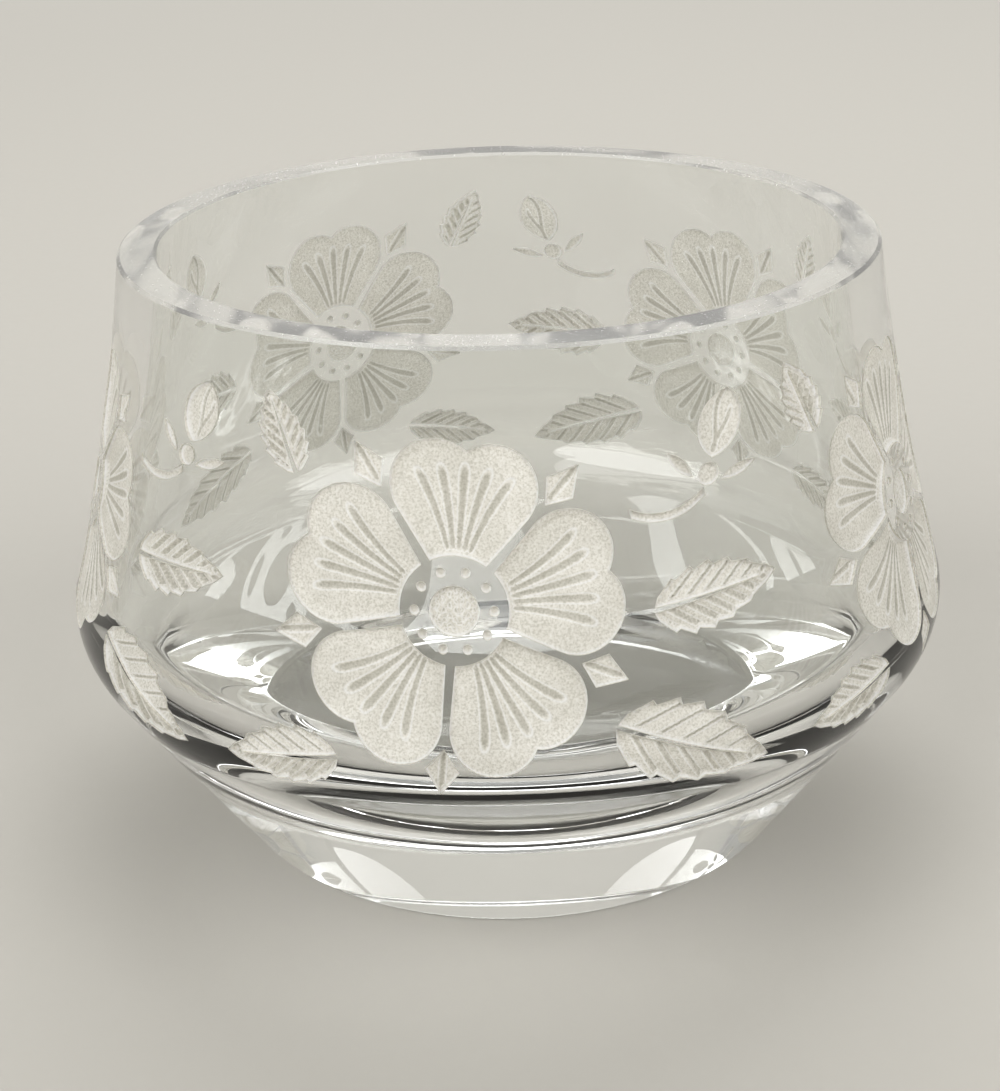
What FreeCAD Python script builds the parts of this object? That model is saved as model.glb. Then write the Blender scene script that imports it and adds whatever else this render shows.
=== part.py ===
import FreeCAD, Part
import math
import os
import Sketcher

# Rose bowl vase in clear glass with sand-carved frosted garlands.
# Millimetres, +Z up, the origin at the centre of the flat base. The first garland faces -Y.

DRIVING = [
    ("bowl_height", 120.5),
    ("rim_radius", 73.6),
    ("belly_radius", 88.75),
    ("belly_height", 49.0),
    ("shoulder_radius", 16.0),
    ("foot_radius", 58.6),
    ("wall_flare_radius", 500.0),
    ("wall_thickness", 7.4),
    ("base_thickness", 22.0),
    ("inner_corner_radius", 15.5),
    ("inner_dish_radius", 160.0),
    ("foot_rounding", 2.4),
    ("rim_bevel", 0.6),
    ("carving_depth", 1.6),
    ("frost_recess", 0.4),
    ("cut_overrun", 1.0),
    ("band_top_margin", 5.0),
    ("band_drop_angle", 24.0),
    ("garlands", 5),
    ("rose_radius", 29.0),
    ("rose_height", 77.0),
    ("rose_side_shift", 9.0),
    ("rose_turn", 12.0),
    ("petals", 5),
    ("petal_root_radius", 9.2),
    ("sepal_overreach", 2.8),
    ("sepal_width", 5.8),
    ("heart_radius", 4.2),
    ("stamens", 10),
    ("stamen_ring_radius", 6.7),
    ("stamen_radius", 0.85),
    ("garland_gap", 1.3),
    ("midrib_width", 0.9),
    ("low_leaf_length", 30.0),
    ("low_leaf_width", 15.0),
    ("side_leaf_length", 22.5),
    ("side_leaf_width", 12.0),
    ("hind_leaf_length", 21.0),
    ("hind_leaf_width", 11.5),
    ("crown_leaf_length", 14.5),
    ("crown_leaf_width", 8.5),
    ("stem_span", 13.0),
    ("stem_width", 1.5),
    ("stem_bend_radius", 11.0),
    ("bud_gap", 0.8),
    ("hip_radius", 1.9),
    ("bud_length", 11.5),
    ("bud_width", 7.6),
    ("bud_sepal_length", 6.4),
    ("bud_sepal_width", 1.9),
]

# Degrees: where each sprig starts round the rose, and the way it then points.
SPRIGS = {
    "low_leaf": (-38.0, -22.0),
    "side_leaf": (-4.0, 6.0),
    "hind_leaf": (-128.0, -170.0),
    "crown_leaf": (142.0, 108.0),
    "stem": (26.0, 8.0),
}
BUD_TURN = 76.0
BUD_SEPAL_START = 104.0
BUD_SEPAL_TURN = 58.0

# Petal outline: degrees from its middle line, and shares of the rose's radius.
PETAL_ROOT_ANGLE = 31.0
PETAL_SHOULDER_ANGLE = 34.2
PETAL_SHOULDER_SHARE = 0.68
PETAL_LOBE_SHARE = 0.2655
PETAL_NOTCH_SHARE = 0.92
SEPAL_ROOT_SHARE = 0.80
SEPAL_WIDEST_SHARE = 0.93

LEAF_TEETH = 6
LEAF_BASE_SHARE = 0.03
LEAF_FIRST_SHARE = 0.06
LEAF_LAST_SHARE = 0.96
LEAF_FULLNESS_SHARES = (0.70, 0.95)
TOOTH_PITCH_SHARE = 0.80
TOOTH_VALLEY_SHARE = 0.84
MIDRIB_END_SHARE = 0.86

START, END, MIDDLE = 1, 2, 3
SAME = 1e-4

doc = FreeCAD.newDocument("RoseBowl")
sheet = doc.addObject("Spreadsheet::Sheet", "Sizes")
for row, (alias, number) in enumerate(DRIVING, start=1):
    sheet.set("A%d" % row, alias.replace("_", " "))
    sheet.set("B%d" % row, str(number))
    sheet.setAlias("B%d" % row, alias)
doc.recompute()


class Length:
    """A length with the expression that ties it to the sheet."""

    def __init__(self, value, text):
        self.value = value
        self.text = text

    def __add__(self, other):
        return Length(self.value + other.value, "(%s + %s)" % (self.text, other.text))

    def __sub__(self, other):
        return Length(self.value - other.value, "(%s - %s)" % (self.text, other.text))

    def __mul__(self, share):
        return Length(self.value * share, "(%s * %.9f)" % (self.text, share))


NOTHING = Length(0.0, "0 mm")


def size(alias):
    return float(sheet.get(alias))


def named(alias):
    return Length(size(alias), "Sizes.%s * 1 mm" % alias)


def vec(x, y):
    return FreeCAD.Vector(x, y, 0)


def polar(angle):
    return math.cos(math.radians(angle)), math.sin(math.radians(angle))


def towards(start, end):
    direction = end - start
    direction.normalize()
    return direction


def meeting(first, firstRadius, second, secondRadius, side):
    """Where two circles cross, on the left (1) or right (-1) of the line between their centres."""
    along = towards(first, second)
    span = (second - first).Length
    reach = (firstRadius ** 2 - secondRadius ** 2 + span ** 2) / (2 * span)
    rise = math.sqrt(max(firstRadius ** 2 - reach ** 2, 0))
    return first + along * reach + vec(-along.y, along.x) * rise * side


def arcAbout(centre, start, end):
    """Counter-clockwise arc from start to end about centre."""
    circle = Part.Circle(centre, FreeCAD.Vector(0, 0, 1), (start - centre).Length)
    first = math.atan2(start.y - centre.y, start.x - centre.x)
    last = math.atan2(end.y - centre.y, end.x - centre.x)
    if last < first:
        last += 2 * math.pi
    return Part.ArcOfCircle(circle, first, last)


def newBody(name):
    body = doc.addObject("PartDesign::Body", name)
    body.AllowCompound = True
    return body


def newSketch(body, name):
    """Sketch on the upright plane through the axis, its own up being the bowl's up."""
    sketch = body.newObject("Sketcher::SketchObject", name)
    plane = [item for item in body.Origin.OriginFeatures if item.Role == "XZ_Plane"][0]
    sketch.AttachmentSupport = [(plane, "")]
    sketch.MapMode = "FlatFace"
    return sketch


def fix(sketch, kind, *arguments, by=None):
    """Add a constraint, and bind its number to the sheet where it has a length."""
    if by is None:
        sketch.addConstraint(Sketcher.Constraint(kind, *arguments))
        return
    index = sketch.addConstraint(Sketcher.Constraint(kind, *arguments, by.value))
    sketch.setExpression("Constraints[%d]" % index, by.text)


def pin(sketch, item, spot, x, y):
    fix(sketch, "DistanceX", -1, START, item, spot, by=x)
    fix(sketch, "DistanceY", -1, START, item, spot, by=y)


def turn(body, sketch, name):
    feature = body.newObject("PartDesign::Revolution", name)
    feature.Profile = sketch
    feature.ReferenceAxis = (sketch, ["V_Axis"])
    feature.Angle = 360
    body.Tip = feature
    doc.recompute()
    return feature


class WallProfile:
    """Outer half section: a cone, a rounded shoulder and the wall that flares above it."""

    def __init__(self):
        self.shoulder = named("shoulder_radius")
        self.flare = named("wall_flare_radius")
        self.side = named("belly_radius") - self.shoulder
        self.level = named("belly_height")
        self.rim = vec(size("rim_radius"), size("bowl_height"))
        self.foot = vec(size("foot_radius"), 0)
        self.centre = vec(self.side.value, self.level.value)
        reach = self.flare.value + self.shoulder.value
        self.flareCentre = meeting(self.centre, reach, self.rim, self.flare.value, -1)
        run = self.centre - self.foot
        lean = math.atan2(run.x, run.y) + math.asin(self.shoulder.value / run.Length)
        across = vec(math.cos(lean), -math.sin(lean))
        self.coneEnd = self.centre + across * self.shoulder.value
        self.outward = towards(self.centre, self.flareCentre)
        self.wallStart = self.centre + self.outward * self.shoulder.value

    def flareAt(self, radius, height):
        """Point at a height on the circle of that radius about the flare's centre."""
        rise = height - self.flareCentre.y
        return vec(self.flareCentre.x - math.sqrt(radius ** 2 - rise ** 2), height)

    def fixShoulder(self, sketch, shoulder):
        pin(sketch, shoulder, MIDDLE, self.side, self.level)
        fix(sketch, "Radius", shoulder, by=self.shoulder)

    def fixFlare(self, sketch, flare):
        pin(sketch, flare, START, named("rim_radius"), named("bowl_height"))
        fix(sketch, "Radius", flare, by=self.flare)


wall = WallProfile()


def circlesAt(shape, level, radius=None):
    """Names of the level circles of a shape, of one radius or of any."""
    names = []
    for number, edge in enumerate(shape.Edges, start=1):
        box = edge.BoundBox
        flat = abs(box.ZMin - level) < SAME and abs(box.ZMax - level) < SAME
        if flat and (radius is None or abs(edge.Curve.Radius - radius) < SAME):
            names.append("Edge%d" % number)
    return names


def makeBowlBlank():
    """The clear glass before carving: a turned section, its foot rounded, its rim bevelled."""
    body = newBody("BowlBlank")
    sketch = newSketch(body, "BowlSection")
    height = size("bowl_height")
    floor = named("base_thickness")
    corner = named("inner_corner_radius")
    dish = named("inner_dish_radius")
    innerFlare = wall.flare + named("wall_thickness")
    innerRim = wall.flareAt(innerFlare.value, height)
    dishCentre = vec(0, floor.value + dish.value)
    inward = dish.value - corner.value
    outward = innerFlare.value + corner.value
    cornerCentre = meeting(dishCentre, inward, wall.flareCentre, outward, -1)
    innerWallEnd = cornerCentre + towards(cornerCentre, wall.flareCentre) * corner.value
    dishEnd = dishCentre + towards(dishCentre, cornerCentre) * dish.value
    floorMiddle = vec(0, floor.value)
    outline = [
        Part.LineSegment(vec(0, 0), wall.foot),
        Part.LineSegment(wall.foot, wall.coneEnd),
        arcAbout(wall.centre, wall.coneEnd, wall.wallStart),
        arcAbout(wall.flareCentre, wall.rim, wall.wallStart),
        Part.LineSegment(wall.rim, innerRim),
        arcAbout(wall.flareCentre, innerRim, innerWallEnd),
        arcAbout(cornerCentre, dishEnd, innerWallEnd),
        arcAbout(dishCentre, floorMiddle, dishEnd),
        Part.LineSegment(floorMiddle, vec(0, 0)),
    ]
    base, cone, shoulder, flare, rim, innerWall, bend, bowlFloor, axis = [
        sketch.addGeometry(item, False) for item in outline
    ]
    fix(sketch, "Coincident", base, START, -1, START)
    fix(sketch, "Coincident", base, END, cone, START)
    fix(sketch, "Tangent", cone, END, shoulder, START)
    fix(sketch, "Tangent", shoulder, END, flare, END)
    fix(sketch, "Coincident", flare, START, rim, START)
    fix(sketch, "Coincident", rim, END, innerWall, START)
    fix(sketch, "Coincident", innerWall, MIDDLE, flare, MIDDLE)
    fix(sketch, "Tangent", innerWall, END, bend, END)
    fix(sketch, "Tangent", bend, START, bowlFloor, END)
    fix(sketch, "Coincident", bowlFloor, START, axis, START)
    fix(sketch, "Coincident", axis, END, base, START)
    fix(sketch, "Horizontal", base)
    fix(sketch, "Horizontal", rim)
    fix(sketch, "Vertical", axis)
    fix(sketch, "PointOnObject", bowlFloor, MIDDLE, -2)
    fix(sketch, "DistanceX", -1, START, base, END, by=named("foot_radius"))
    fix(sketch, "DistanceY", -1, START, axis, START, by=floor)
    wall.fixShoulder(sketch, shoulder)
    wall.fixFlare(sketch, flare)
    fix(sketch, "Radius", innerWall, by=innerFlare)
    fix(sketch, "Radius", bend, by=corner)
    fix(sketch, "Radius", bowlFloor, by=dish)
    doc.recompute()
    turned = turn(body, sketch, "BowlTurned")
    rounding = body.newObject("PartDesign::Fillet", "FootRounding")
    rounding.Base = (turned, circlesAt(turned.Shape, 0, wall.foot.x))
    rounding.setExpression("Radius", named("foot_rounding").text)
    doc.recompute()
    bevel = body.newObject("PartDesign::Chamfer", "RimBevel")
    bevel.Base = (rounding, circlesAt(rounding.Shape, height))
    bevel.setExpression("Size", named("rim_bevel").text)
    body.Tip = bevel
    doc.recompute()
    return body


def makeBand(name, outerDepth, innerDepth):
    """Ring that follows the decorated wall between two depths in from its outer face."""
    body = newBody(name)
    sketch = newSketch(body, name + "Section")
    top = named("bowl_height") - named("band_top_margin")
    ray = vec(*polar(-size("band_drop_angle")))
    shoulder = sketch.addGeometry(arcAbout(wall.centre, wall.coneEnd, wall.wallStart), True)
    flare = sketch.addGeometry(arcAbout(wall.flareCentre, wall.rim, wall.wallStart), True)
    fix(sketch, "Tangent", shoulder, END, flare, END)
    wall.fixShoulder(sketch, shoulder)
    wall.fixFlare(sketch, flare)
    sides = []
    for depth in (outerDepth, innerDepth):
        bendRadius = wall.shoulder - depth
        leanRadius = wall.flare + depth
        low = wall.centre + ray * bendRadius.value
        joint = wall.centre + wall.outward * bendRadius.value
        high = wall.flareAt(leanRadius.value, top.value)
        bend = sketch.addGeometry(arcAbout(wall.centre, low, joint), False)
        lean = sketch.addGeometry(arcAbout(wall.flareCentre, high, joint), False)
        fix(sketch, "Coincident", bend, MIDDLE, shoulder, MIDDLE)
        fix(sketch, "Coincident", lean, MIDDLE, flare, MIDDLE)
        fix(sketch, "Tangent", bend, END, lean, END)
        fix(sketch, "Radius", bend, by=bendRadius)
        fix(sketch, "DistanceY", -1, START, lean, START, by=top)
        sides.append((bend, lean, low, high))
    (outerBend, outerLean, outerLow, outerHigh), (innerBend, innerLean, innerLow, innerHigh) = sides
    bottom = sketch.addGeometry(Part.LineSegment(outerLow, innerLow), False)
    lid = sketch.addGeometry(Part.LineSegment(outerHigh, innerHigh), False)
    fix(sketch, "Coincident", bottom, START, outerBend, START)
    fix(sketch, "Coincident", bottom, END, innerBend, START)
    fix(sketch, "Coincident", lid, START, outerLean, START)
    fix(sketch, "Coincident", lid, END, innerLean, START)
    fix(sketch, "PointOnObject", shoulder, MIDDLE, bottom)
    lowX, lowY = polar(-size("band_drop_angle"))
    fix(
        sketch, "DistanceY", -1, START, bottom, START,
        by=wall.level + (wall.shoulder - outerDepth) * lowY,
    )
    doc.recompute()
    turn(body, sketch, name + "Turned")
    return body


def place(sketch, x, y, angle):
    sketch.AttachmentOffset = FreeCAD.Placement(
        vec(x.value, y.value), FreeCAD.Rotation(FreeCAD.Vector(0, 0, 1), angle)
    )
    sketch.setExpression("AttachmentOffset.Base.x", x.text)
    sketch.setExpression("AttachmentOffset.Base.y", y.text)


def drawLoop(sketch, corners, bows):
    """Closed outline through corners, counter-clockwise; a bow is (radius, side) or None."""
    items = []
    for number, (x, y) in enumerate(corners):
        nextX, nextY = corners[(number + 1) % len(corners)]
        start = vec(x.value, y.value)
        end = vec(nextX.value, nextY.value)
        bow = bows.get(number)
        if bow is None:
            items.append((sketch.addGeometry(Part.LineSegment(start, end), False), START, END))
            continue
        radius, side = bow
        middle = (start + end) * 0.5
        across = towards(start, end)
        rise = math.sqrt(max(radius.value ** 2 - ((end - start).Length / 2) ** 2, 0))
        centre = middle + vec(-across.y, across.x) * rise * side
        if side > 0:
            arc = sketch.addGeometry(arcAbout(centre, start, end), False)
            items.append((arc, START, END))
        else:
            arc = sketch.addGeometry(arcAbout(centre, end, start), False)
            items.append((arc, END, START))
        fix(sketch, "Radius", arc, by=radius)
    for number, (item, first, last) in enumerate(items):
        following, followingFirst, followingLast = items[(number + 1) % len(items)]
        fix(sketch, "Coincident", item, last, following, followingFirst)
        pin(sketch, item, first, *corners[number])


def padOut(body, sketch, name):
    """Carry an outline from the axis out past the belly."""
    feature = body.newObject("PartDesign::Pad", name)
    feature.Profile = sketch
    reach = named("belly_radius") + named("cut_overrun") * 2
    feature.setExpression("Length", reach.text)
    body.Tip = feature
    doc.recompute()
    return feature


def around(body, name, originals, sketch, count):
    feature = body.newObject("PartDesign::PolarPattern", name)
    feature.Originals = originals
    feature.Axis = (sketch, ["N_Axis"])
    feature.Angle = 360
    feature.setExpression("Occurrences", count)
    body.Tip = feature
    doc.recompute()
    return feature


def spoke(length, angle):
    across, up = polar(angle)
    return length * across, length * up


def roseCentre():
    return named("rose_side_shift") * -1, named("rose_height")


def makeRoseBlank():
    """Open rose: petals with a notched edge, sepal tips between them, a ring of dots, a heart."""
    body = newBody("RoseBlank")
    radius = named("rose_radius")
    root = named("petal_root_radius")
    lobe = radius * PETAL_LOBE_SHARE
    step = 180.0 / size("petals")
    petal = newSketch(body, "PetalOutline")
    place(petal, *roseCentre(), size("rose_turn"))
    corners = [
        spoke(root, -PETAL_ROOT_ANGLE),
        spoke(radius * PETAL_SHOULDER_SHARE, -PETAL_SHOULDER_ANGLE),
        (radius * PETAL_NOTCH_SHARE, NOTHING),
        spoke(radius * PETAL_SHOULDER_SHARE, PETAL_SHOULDER_ANGLE),
        spoke(root, PETAL_ROOT_ANGLE),
    ]
    drawLoop(petal, corners, {1: (lobe, 1), 2: (lobe, 1), 4: (root, -1)})
    petalPad = padOut(body, petal, "Petal")
    sepal = newSketch(body, "SepalOutline")
    place(sepal, *roseCentre(), size("rose_turn") + step)
    half = named("sepal_width") * 0.5
    corners = [
        (radius * SEPAL_ROOT_SHARE, NOTHING),
        (radius * SEPAL_WIDEST_SHARE, half * -1),
        (radius + named("sepal_overreach"), NOTHING),
        (radius * SEPAL_WIDEST_SHARE, half),
    ]
    drawLoop(sepal, corners, {})
    sepalPad = padOut(body, sepal, "Sepal")
    around(body, "PetalsAround", [petalPad, sepalPad], petal, "Sizes.petals")
    heart = newSketch(body, "HeartOutline")
    place(heart, *roseCentre(), 0)
    circle = Part.Circle(vec(0, 0), FreeCAD.Vector(0, 0, 1), size("heart_radius"))
    item = heart.addGeometry(circle, False)
    fix(heart, "Coincident", item, MIDDLE, -1, START)
    fix(heart, "Radius", item, by=named("heart_radius"))
    padOut(body, heart, "Heart")
    stamen = newSketch(body, "StamenOutline")
    place(stamen, *roseCentre(), 0)
    ring = size("stamen_ring_radius")
    circle = Part.Circle(vec(ring, 0), FreeCAD.Vector(0, 0, 1), size("stamen_radius"))
    item = stamen.addGeometry(circle, False)
    pin(stamen, item, MIDDLE, named("stamen_ring_radius"), NOTHING)
    fix(stamen, "Radius", item, by=named("stamen_radius"))
    stamenPad = padOut(body, stamen, "Stamen")
    around(body, "StamensAround", [stamenPad], stamen, "Sizes.stamens")
    return body


def sprigStart(name):
    """Where a sprig leaves the rose, a clear gap beyond the sepal tips."""
    clear = named("rose_radius") + named("sepal_overreach") + named("garland_gap")
    sideways, up = spoke(clear, SPRIGS[name][0])
    x, y = roseCentre()
    return x + sideways, y + up


def leafFullness(share):
    low, high = LEAF_FULLNESS_SHARES
    widest = low / (low + high)
    return (share / widest) ** low * ((1 - share) / (1 - widest)) ** high


def makeLeafBlank():
    """Four toothed leaves, each split by its midrib nearly to the tip."""
    body = newBody("LeafBlank")
    for name in ("low_leaf", "side_leaf", "hind_leaf", "crown_leaf"):
        length = named(name + "_length")
        half = named(name + "_width") * 0.5
        rib = named("midrib_width") * 0.5
        sketch = newSketch(body, name.title().replace("_", "") + "Outline")
        place(sketch, *sprigStart(name), SPRIGS[name][1])
        edge = []
        pitch = (LEAF_LAST_SHARE - LEAF_FIRST_SHARE) / LEAF_TEETH
        for tooth in range(LEAF_TEETH):
            valley = LEAF_FIRST_SHARE + tooth * pitch
            peak = valley + pitch * TOOTH_PITCH_SHARE
            edge.append((valley, leafFullness(valley) * TOOTH_VALLEY_SHARE))
            edge.append((peak, leafFullness(peak)))
        lower = [(length * along, half * -out) for along, out in edge]
        upper = [(length * along, half * out) for along, out in reversed(edge)]
        corners = [(length * LEAF_BASE_SHARE, rib * -1)] + lower
        corners += [(length, NOTHING)] + upper
        corners += [(length * LEAF_BASE_SHARE, rib), (length * MIDRIB_END_SHARE, NOTHING)]
        drawLoop(sketch, corners, {})
        padOut(body, sketch, name.title().replace("_", ""))
    return body


def drawLens(sketch, x, length, widthAlias):
    """Pointed oval from x along the sketch's own X axis."""
    half = length * 0.5
    width = named(widthAlias)
    radius = Length(
        half.value ** 2 / width.value + width.value / 4,
        "(%s * %s / (%s) + (%s) / 4)" % (half.text, half.text, width.text, width.text),
    )
    drawLoop(sketch, [(x, NOTHING), (x + length, NOTHING)], {0: (radius, 1), 1: (radius, 1)})


def makeBudBlank():
    """A curved stem with its hip, a closed bud and two sepals."""
    body = newBody("BudBlank")
    span = named("stem_span")
    half = named("stem_width") * 0.5
    bend = named("stem_bend_radius")
    stem = newSketch(body, "StemOutline")
    startX, startY = sprigStart("stem")
    place(stem, startX, startY, SPRIGS["stem"][1])
    corners = [(NOTHING, half * -1), (span, half * -1), (span, half), (NOTHING, half)]
    drawLoop(stem, corners, {0: (bend, 1), 2: (bend, -1)})
    padOut(body, stem, "Stem")
    alongX, alongY = spoke(span, SPRIGS["stem"][1])
    hipX, hipY = spoke(named("hip_radius") + named("bud_gap"), BUD_TURN)
    hipX = startX + alongX + hipX
    hipY = startY + alongY + hipY
    hip = newSketch(body, "HipOutline")
    place(hip, hipX, hipY, BUD_TURN)
    circle = Part.Circle(vec(0, 0), FreeCAD.Vector(0, 0, 1), size("hip_radius"))
    item = hip.addGeometry(circle, False)
    fix(hip, "Coincident", item, MIDDLE, -1, START)
    fix(hip, "Radius", item, by=named("hip_radius"))
    padOut(body, hip, "Hip")
    clear = named("hip_radius") + named("bud_gap")
    bud = newSketch(body, "BudOutline")
    place(bud, hipX, hipY, BUD_TURN)
    drawLens(bud, clear, named("bud_length"), "bud_width")
    padOut(body, bud, "Bud")
    for name, side in (("Left", 1), ("Right", -1)):
        sepalX, sepalY = spoke(clear, BUD_TURN + side * BUD_SEPAL_START)
        sepal = newSketch(body, "BudSepalOutline" + name)
        place(sepal, hipX + sepalX, hipY + sepalY, BUD_TURN + side * BUD_SEPAL_TURN)
        drawLens(sepal, NOTHING, named("bud_sepal_length"), "bud_sepal_width")
        padOut(body, sepal, "BudSepal" + name)
    return body


def boolean(kind, name, base, tool):
    feature = doc.addObject("Part::" + kind, name)
    feature.Base = base
    feature.Tool = tool
    doc.recompute()
    return feature


def setRound(name, source, number):
    """The same piece at its own garland, turned about the bowl's axis."""
    feature = doc.addObject("Part::Compound", name)
    feature.Links = [source]
    feature.Placement = FreeCAD.Placement(
        FreeCAD.Vector(0, 0, 0), FreeCAD.Rotation(FreeCAD.Vector(0, 0, 1), 0)
    )
    feature.setExpression("Placement.Rotation.Angle", "%d * 360 deg / Sizes.garlands" % number)
    return feature


def makeSlice():
    """Wedge that holds one garland, its middle at -Y, past the glass on every side."""
    wedge = doc.addObject("Part::Cylinder", "GarlandSlice")
    over = named("cut_overrun")
    wedge.setExpression("Radius", (named("belly_radius") + over).text)
    wedge.setExpression("Height", (named("bowl_height") + over * 2).text)
    wedge.setExpression("Angle", "360 deg / Sizes.garlands")
    wedge.setExpression("Placement.Base.z", (over * -1).text)
    wedge.setExpression("Placement.Rotation.Angle", "-90 deg - 180 deg / Sizes.garlands")
    return wedge


bowlBlank = makeBowlBlank()
pocketBand = makeBand("PocketBand", named("cut_overrun") * -1, named("carving_depth"))
frostBand = makeBand("FrostBand", named("frost_recess"), named("carving_depth"))
blanks = {
    "frosted_rose": makeRoseBlank(),
    "frosted_leaves": makeLeafBlank(),
    "frosted_bud": makeBudBlank(),
}

garlandNumbers = range(int(size("garlands")))
pieces = []
pockets = []
for label, blank in blanks.items():
    pockets.append(boolean("Common", blank.Name + "Pocket", pocketBand, blank))
    frost = boolean("Common", blank.Name + "Frost", frostBand, blank)
    for number in garlandNumbers:
        name = "%s_%d" % (label, number + 1)
        piece = setRound("Placed_" + name, frost, number)
        piece.Label = name
        pieces.append(piece)

carving = doc.addObject("Part::Compound", "Carving")
carving.Links = pockets
plainSlice = boolean("Common", "PlainSlice", bowlBlank, makeSlice())
carvedSlice = boolean("Cut", "CarvedSlice", plainSlice, carving)
slices = [setRound("Slice_%d" % (number + 1), carvedSlice, number) for number in garlandNumbers]
bowl = doc.addObject("Part::MultiFuse", "GlassBowl")
bowl.Shapes = slices
bowl.Label = "glass_bowl"
pieces.append(bowl)
doc.recompute()

failed = [item.Name for item in doc.Objects if {"Invalid", "Error"} & set(item.State)]
if failed:
    raise RuntimeError("these did not build: %s" % ", ".join(failed))
for piece in pieces:
    if piece.Shape.isNull() or not piece.Shape.isValid():
        raise RuntimeError("bad shape: %s" % piece.Label)

os.makedirs("parts", exist_ok=True)
for piece in pieces:
    piece.Shape.exportStep("parts/%s.step" % piece.Label)
    print("%s: %d solids, %.0f cubic mm" % (piece.Label, len(piece.Shape.Solids), piece.Shape.Volume))
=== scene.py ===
import bpy
from math import asin, atan2, ceil, cos, exp, hypot, pi, radians, sin, sqrt, tan
from mathutils import Matrix, Vector, noise
from mathutils.geometry import delaunay_2d_cdt
from mathutils.kdtree import KDTree


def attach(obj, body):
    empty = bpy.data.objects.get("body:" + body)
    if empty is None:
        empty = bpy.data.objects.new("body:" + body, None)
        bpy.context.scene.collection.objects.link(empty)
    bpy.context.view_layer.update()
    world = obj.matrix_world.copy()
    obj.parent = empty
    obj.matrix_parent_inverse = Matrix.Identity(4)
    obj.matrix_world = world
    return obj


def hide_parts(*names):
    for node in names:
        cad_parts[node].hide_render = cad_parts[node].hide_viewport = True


# Rose bowl vase: one thick clear glass bowl, and the carved, blasted garlands in its wall.
# Shapes are worked out in millimetres and turned to metres when a mesh is made.

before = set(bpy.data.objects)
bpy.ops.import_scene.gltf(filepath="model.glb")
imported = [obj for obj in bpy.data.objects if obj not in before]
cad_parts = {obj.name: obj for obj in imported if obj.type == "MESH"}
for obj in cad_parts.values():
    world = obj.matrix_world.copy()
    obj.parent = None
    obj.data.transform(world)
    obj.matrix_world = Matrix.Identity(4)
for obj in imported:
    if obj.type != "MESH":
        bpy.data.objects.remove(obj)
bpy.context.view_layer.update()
mm = 0.001
print("frame loaded")

bowlSizes = {
    "height": 120.5,
    "rimRadius": 73.6,
    "bellyRadius": 88.75,
    "bellyHeight": 49.0,
    "shoulderRadius": 16.0,
    "footRadius": 58.6,
    "flareRadius": 500.0,
    "wall": 7.4,
    "base": 22.0,
    "innerCorner": 15.5,
    "innerDish": 160.0,
    "footRounding": 2.4,
    "rimBevel": 0.6,
    "standingRing": (49.0, 55.2),  # the ring of the base that touches the table and wears
    "carvingDepth": 1.6,
    "frostRecess": 0.4,
    "garlands": 5,
    "bandLow": -26.0,  # degrees down the shoulder where the carved band starts
    "bandTop": 116.5,
    "waviness": 0.22,  # degrees that the hand-polished faces stray by
    "waves": (45, 40),  # how many a metre, up and down the wall and round it
}

clear, blasted, bonded, worn, ground = range(5)  # what each face of a piece is finished as
noSlope = 9.0  # radians, marks a corner of a flat or carved face


def meeting(first, firstRadius, second, secondRadius, side):
    # where two circles cross, left (1) or right (-1) of the line between their centres
    span = (second - first).length
    along = (second - first) / span
    reach = (firstRadius ** 2 - secondRadius ** 2 + span ** 2) / (2 * span)
    rise = sqrt(max(firstRadius ** 2 - reach ** 2, 0))
    return first + along * reach + Vector((-along.y, along.x)) * rise * side


def slopeOf(direction):
    return atan2(direction.y, direction.x)


def onCircle(centre, radius, angle):
    return centre + Vector((cos(angle), sin(angle))) * radius


# the half section, x outwards and y up: a cone, a rounded shoulder and the wall that flares
shoulder = Vector((bowlSizes["bellyRadius"] - bowlSizes["shoulderRadius"], bowlSizes["bellyHeight"]))
rimEdge = Vector((bowlSizes["rimRadius"], bowlSizes["height"]))
footEdge = Vector((bowlSizes["footRadius"], 0))
flare = meeting(
    shoulder, bowlSizes["flareRadius"] + bowlSizes["shoulderRadius"], rimEdge, bowlSizes["flareRadius"], -1
)
footRun = shoulder - footEdge
coneSlope = -atan2(footRun.x, footRun.y) - asin(bowlSizes["shoulderRadius"] / footRun.length)
jointSlope = slopeOf(flare - shoulder)


def wallRadius(height, depth=0.0):
    # radius of the wall's outer face, or of a face that lies a depth inside it
    bend = bowlSizes["shoulderRadius"] - depth
    if height > shoulder.y + sin(jointSlope) * bend:
        return flare.x - sqrt((bowlSizes["flareRadius"] + depth) ** 2 - (height - flare.y) ** 2)
    return shoulder.x + sqrt(bend ** 2 - (height - shoulder.y) ** 2)


def wallSlope(height):
    point = Vector((wallRadius(height), height))
    if height > shoulder.y + sin(jointSlope) * bowlSizes["shoulderRadius"]:
        return slopeOf(flare - point)
    return slopeOf(point - shoulder)


def onWall(x, height, depth=0.0):
    # a point of the first garland's plane, carried straight back on to the wall
    return Vector((x, -sqrt(wallRadius(height, depth) ** 2 - x * x), height))


def spread(x, height):
    # the same point on the wall laid out flat, angle against height
    return Vector((asin(x / wallRadius(height)) * bowlSizes["bellyRadius"], height))


def gather(point):
    return wallRadius(point.y) * sin(point.x / bowlSizes["bellyRadius"]), point.y


def steps(first, last, pace):
    count = max(1, ceil(abs(last - first) / pace))
    return [first + (last - first) * number / count for number in range(count + 1)]


# The garland's outlines lie in the plane of the first garland: x to the right, y up.

outlinePace = 0.62  # millimetres between points of an outline


def spoke(length, angle):
    return Vector((cos(radians(angle)), sin(radians(angle)))) * length


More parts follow.
